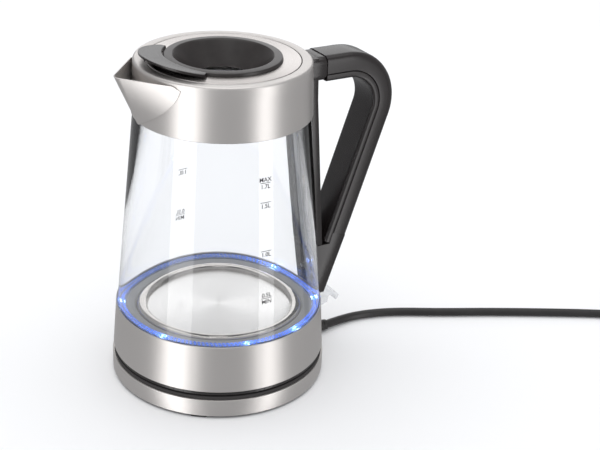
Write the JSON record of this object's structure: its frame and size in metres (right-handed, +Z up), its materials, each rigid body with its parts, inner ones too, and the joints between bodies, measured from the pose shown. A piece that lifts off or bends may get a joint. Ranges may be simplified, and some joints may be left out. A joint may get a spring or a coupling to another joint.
{
  "type": "electric kettle",
  "caption": "Cordless electric kettle: glass jug with steel collar and skirt, V spout, loop handle, funnel lid, switch lever and round power base with mains lead.",
  "frame": {"origin": "on the surface that the feet stand on, at the centre line of the round base and jug", "axes": "+Z up along the centre line, +X towards the handle, -X towards the spout, +Y to the left of the handle seen from the spout"},
  "size_m": [0.5725, 0.2063, 0.251],
  "materials": {
    "black_moulding": "satin moulded polypropylene",
    "brushed_steel": "fine brushed stainless steel",
    "plate_steel": "radially brushed stainless steel",
    "gloss_black": "gloss black moulding",
    "satin_black": "satin black moulding",
    "brass": "bright brass",
    "zinc_steel": "zinc-plated steel",
    "foot_rubber": "matt rubber",
    "cord_black": "satin black PVC",
    "tie_black": "soft black strap",
    "wire_insulation": "silicone insulation",
    "aluminium": "die-cast aluminium",
    "silicone": "grey silicone",
    "clear_plastic": "clear moulded plastic",
    "led": "blue light-emitting diode",
    "circuit_board": "solder-masked board",
    "glass": "clear borosilicate glass",
    "steel_mesh": "etched steel mesh"
  },
  "bodies": {
    "power_base": {"base_bottom_cover": "black_moulding", "base_band": "brushed_steel", "base_top_plate": "black_moulding", "base_connector": "black_moulding", "base_contacts": "brass", "base_screws": "zinc_steel", "base_feet": "foot_rubber", "cord_boot": "cord_black", "cord_clamp": "black_moulding", "base_wires": "wire_insulation", "cord_lead": "cord_black", "cord_coil": "cord_black", "cord_tail": "cord_black", "cord_tie": "tie_black", "plug_body": "cord_black", "plug_pins": "brass"},
    "earth_ring": {"socket_ring": "brass"},
    "jug": {"jug_bottom_cover": "black_moulding", "skirt": "brushed_steel", "carrier": "black_moulding", "carrier_screws": "zinc_steel", "control_unit": "black_moulding", "socket_contacts": "brass", "heating_plate": "plate_steel", "heat_spreader": "aluminium", "heating_element": "aluminium", "plate_seal": "silicone", "light_ring": "clear_plastic", "leds": "led", "led_board": "circuit_board", "jug_wires": "wire_insulation", "glass": "glass", "top_seal": "silicone", "collar": "brushed_steel", "collar_liner": "black_moulding", "spout": "brushed_steel", "filter_frame": "black_moulding", "filter_mesh": "steel_mesh", "spine": "gloss_black", "steam_tube": "silicone", "handle_stub": "gloss_black", "handle_frame": "zinc_steel", "grip_outer_shell": "gloss_black", "grip_inner_shell": "gloss_black", "bracket": "gloss_black", "handle_screws": "zinc_steel", "steam_switch": "black_moulding", "bimetal_disc": "zinc_steel", "lever_pin": "zinc_steel"},
    "lid": {"lid_plate": "brushed_steel", "lid_funnel": "satin_black", "lid_body": "black_moulding", "lid_seal": "silicone", "lid_tab": "gloss_black"},
    "lever": {"switch_lever": "clear_plastic"}
  },
  "joints": [
    {"name": "jug_lift", "type": "slide", "parent": "power_base", "child": "earth_ring", "axis": [0, 0, 1], "range_m": [0, 0.12]},
    {"name": "jug_swivel", "type": "hinge", "parent": "earth_ring", "child": "jug", "pos_m": [0, 0, 0.0359], "axis": [0, 0, 1], "continuous": true},
    {"name": "lid_lift", "type": "slide", "parent": "jug", "child": "lid", "axis": [0, 0, 1], "range_m": [0, 0.08]},
    {"name": "lever_tilt", "type": "hinge", "parent": "jug", "child": "lever", "pos_m": [0.066, 0, 0.038], "axis": [0, -1, 0], "range_deg": [0, 10]}
  ]
}
